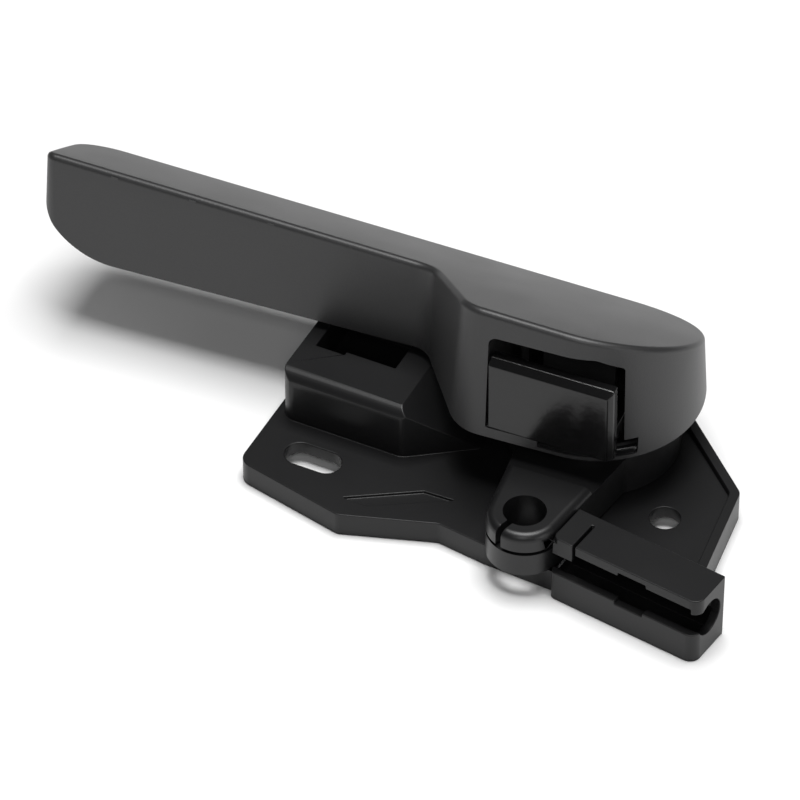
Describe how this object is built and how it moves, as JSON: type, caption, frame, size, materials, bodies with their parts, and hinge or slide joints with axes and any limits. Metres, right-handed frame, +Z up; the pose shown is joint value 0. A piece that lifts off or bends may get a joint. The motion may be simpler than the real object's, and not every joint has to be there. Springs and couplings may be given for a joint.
{
  "type": "hood release handle",
  "caption": "Pull lever with a hollow sloping grip, turning on a moulded bracket with a side channel that holds a release cable's sheath.",
  "frame": {"origin": "pivot axis on the bracket's mounting underside", "axes": "+Z up along the pivot axis, -X towards the grip's tip, -Y towards the cable eye and channel"},
  "size_m": [0.1783, 0.074, 0.0562],
  "materials": {
    "bracket_plastic": "moulded, faint grain",
    "lever_plastic": "moulded, satin",
    "handle_plastic": "fine leather grain",
    "clip_plastic": "glossy moulded",
    "washer_plastic": "smooth",
    "spring_steel": "drawn wire",
    "screw_steel": "zinc plated"
  },
  "bodies": {
    "base": {"bracket": "bracket_plastic", "slip_washer": "washer_plastic", "return_spring": "spring_steel", "retaining_washer": "screw_steel", "pivot_screw": "screw_steel"},
    "lever": {"cable_lever": "lever_plastic", "handle": "handle_plastic", "locking_clip": "clip_plastic"}
  },
  "joints": [
    {"name": "pull", "type": "hinge", "parent": "base", "child": "lever", "pos_m": [0, 0, 0], "axis": [0, 0, -1], "range_deg": [0, 32], "stiffness_Nm_per_rad": 0.23, "springref_deg": -22.92}
  ]
}
